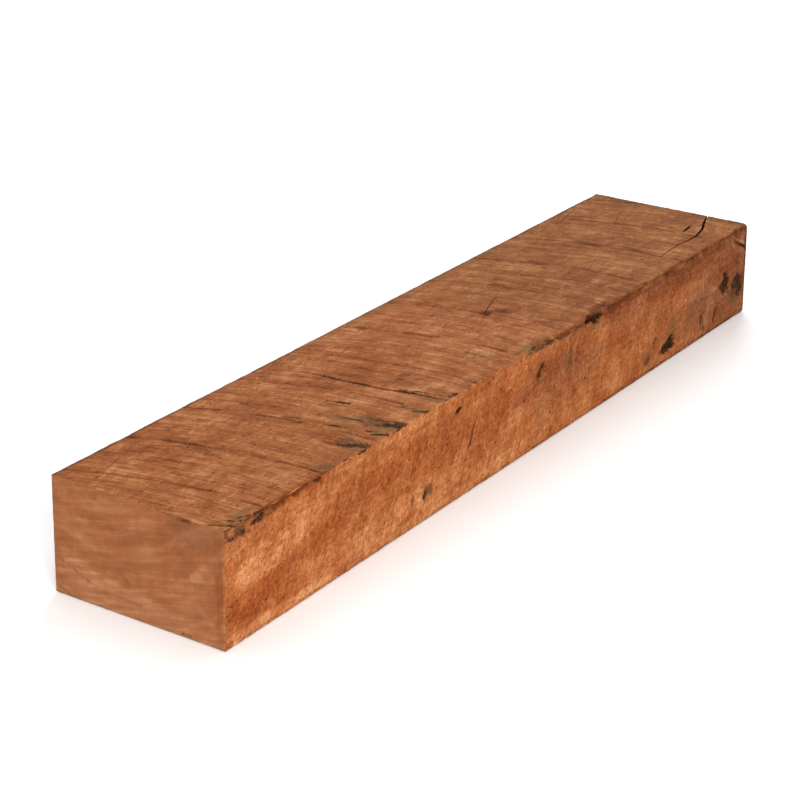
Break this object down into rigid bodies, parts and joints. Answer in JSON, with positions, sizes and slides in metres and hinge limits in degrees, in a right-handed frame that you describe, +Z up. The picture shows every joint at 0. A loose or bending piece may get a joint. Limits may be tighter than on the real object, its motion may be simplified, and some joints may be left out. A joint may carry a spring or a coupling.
{
  "type": "hardwood post",
  "caption": "Short length of rough-sawn hardwood post, a solid rectangular timber with gum pockets and an end split, used as fence or framing stock.",
  "frame": {"origin": "middle of the underside, on the surface the post lies on", "axes": "+Y along the post from its near crosscut to its split far end, +X out of the side with the gum pockets, +Z up"},
  "size_m": [0.1324, 0.65, 0.076],
  "materials": {
    "sawn_hardwood": "rough sawn, unfinished red-brown hardwood"
  },
  "bodies": {
    "root": {"hardwood_post": "sawn_hardwood"}
  },
  "joints": []
}
